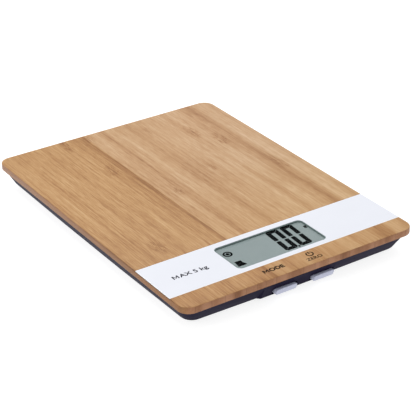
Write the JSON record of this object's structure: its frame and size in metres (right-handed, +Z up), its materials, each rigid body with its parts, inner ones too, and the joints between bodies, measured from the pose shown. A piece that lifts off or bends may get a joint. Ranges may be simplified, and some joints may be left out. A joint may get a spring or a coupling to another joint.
{
  "type": "kitchen scale",
  "caption": "Slim battery kitchen scale: bamboo platform with an inlaid display strip over a dark tray with front buttons, weighing feet and a coin-cell cover",
  "frame": {"origin": "on the table, under the middle of the platform (bottom centre of the whole scale)", "axes": "+Z up; +Y from the display end (front) to the back, along the longer side; +X to the right seen from the front"},
  "size_m": [0.17, 0.2308, 0.0185],
  "materials": {
    "bamboo": "satin",
    "panel_white": "gloss",
    "window_clear": "gloss",
    "lcd": "satin",
    "black_plastic": "matte",
    "connector_rubber": "matte",
    "board_green": "satin",
    "chip_black": "gloss",
    "button_grey": "satin",
    "plunger_white": "matte",
    "tray_dark": "matte",
    "cell_steel": "brushed",
    "retainer_white": "matte",
    "gauge_film": "gloss",
    "foot_plastic": "matte",
    "pad_rubber": "matte",
    "coin_cell_steel": "brushed",
    "contact_nickel": "satin",
    "screw_steel": "machined",
    "wire_white": "matte",
    "wire_black": "matte",
    "wire_red": "matte"
  },
  "bodies": {
    "scale_body": {"bamboo_platform": "bamboo", "display_panel": "panel_white", "display_window": "window_clear", "lcd_glass": "lcd", "lcd_frame": "black_plastic", "mode_switch": "black_plastic", "zero_switch": "black_plastic", "lcd_connector_strip": "connector_rubber", "main_board": "board_green", "scale_chip": "chip_black", "base_tray": "tray_dark", "load_cell_front_left": "cell_steel", "load_cell_front_right": "cell_steel", "load_cell_rear_left": "cell_steel", "load_cell_rear_right": "cell_steel", "load_cell_retainer_front_left": "retainer_white", "load_cell_retainer_front_right": "retainer_white", "load_cell_retainer_rear_left": "retainer_white", "load_cell_retainer_rear_right": "retainer_white", "strain_gauge_front_left": "gauge_film", "strain_gauge_front_right": "gauge_film", "strain_gauge_rear_left": "gauge_film", "strain_gauge_rear_right": "gauge_film", "coin_cell": "coin_cell_steel", "battery_contact_negative": "contact_nickel", "battery_contact_positive": "contact_nickel", "platform_screw_1": "screw_steel", "platform_screw_2": "screw_steel", "platform_screw_3": "screw_steel", "platform_screw_4": "screw_steel", "platform_screw_5": "screw_steel", "platform_screw_6": "screw_steel", "board_screw_1": "screw_steel", "board_screw_2": "screw_steel", "board_screw_3": "screw_steel", "board_screw_4": "screw_steel", "load_cell_wires_front_left": "wire_white", "load_cell_wires_front_right": "wire_white", "load_cell_wires_rear_left": "wire_white", "load_cell_wires_rear_right": "wire_white", "battery_wire_black": "wire_black", "battery_wire_red": "wire_red"},
    "mode_button": {"mode_button": "button_grey", "mode_switch_plunger": "plunger_white"},
    "zero_button": {"zero_button": "button_grey", "zero_switch_plunger": "plunger_white"},
    "battery_cover": {"battery_cover": "tray_dark"},
    "foot_front_left": {"foot_front_left": "foot_plastic", "foot_pad_front_left": "pad_rubber"},
    "foot_front_right": {"foot_front_right": "foot_plastic", "foot_pad_front_right": "pad_rubber"},
    "foot_rear_left": {"foot_rear_left": "foot_plastic", "foot_pad_rear_left": "pad_rubber"},
    "foot_rear_right": {"foot_rear_right": "foot_plastic", "foot_pad_rear_right": "pad_rubber"}
  },
  "joints": [
    {"name": "mode_button_press", "type": "slide", "parent": "scale_body", "child": "mode_button", "axis": [0, 1, 0], "range_m": [0, 0.0006], "stiffness_N_per_m": 2000},
    {"name": "zero_button_press", "type": "slide", "parent": "scale_body", "child": "zero_button", "axis": [0, 1, 0], "range_m": [0, 0.0006], "stiffness_N_per_m": 2000},
    {"name": "battery_cover_twist", "type": "hinge", "parent": "scale_body", "child": "battery_cover", "pos_m": [0, -0.018, 0.003], "axis": [0, 0, 1], "range_deg": [0, 40]},
    {"name": "foot_front_left_flex", "type": "slide", "parent": "scale_body", "child": "foot_front_left", "axis": [0, 0, 1], "range_m": [0, 0.0003], "stiffness_N_per_m": 300},
    {"name": "foot_front_right_flex", "type": "slide", "parent": "scale_body", "child": "foot_front_right", "axis": [0, 0, 1], "range_m": [0, 0.0003], "stiffness_N_per_m": 300},
    {"name": "foot_rear_left_flex", "type": "slide", "parent": "scale_body", "child": "foot_rear_left", "axis": [0, 0, 1], "range_m": [0, 0.0003], "stiffness_N_per_m": 300},
    {"name": "foot_rear_right_flex", "type": "slide", "parent": "scale_body", "child": "foot_rear_right", "axis": [0, 0, 1], "range_m": [0, 0.0003], "stiffness_N_per_m": 300}
  ]
}
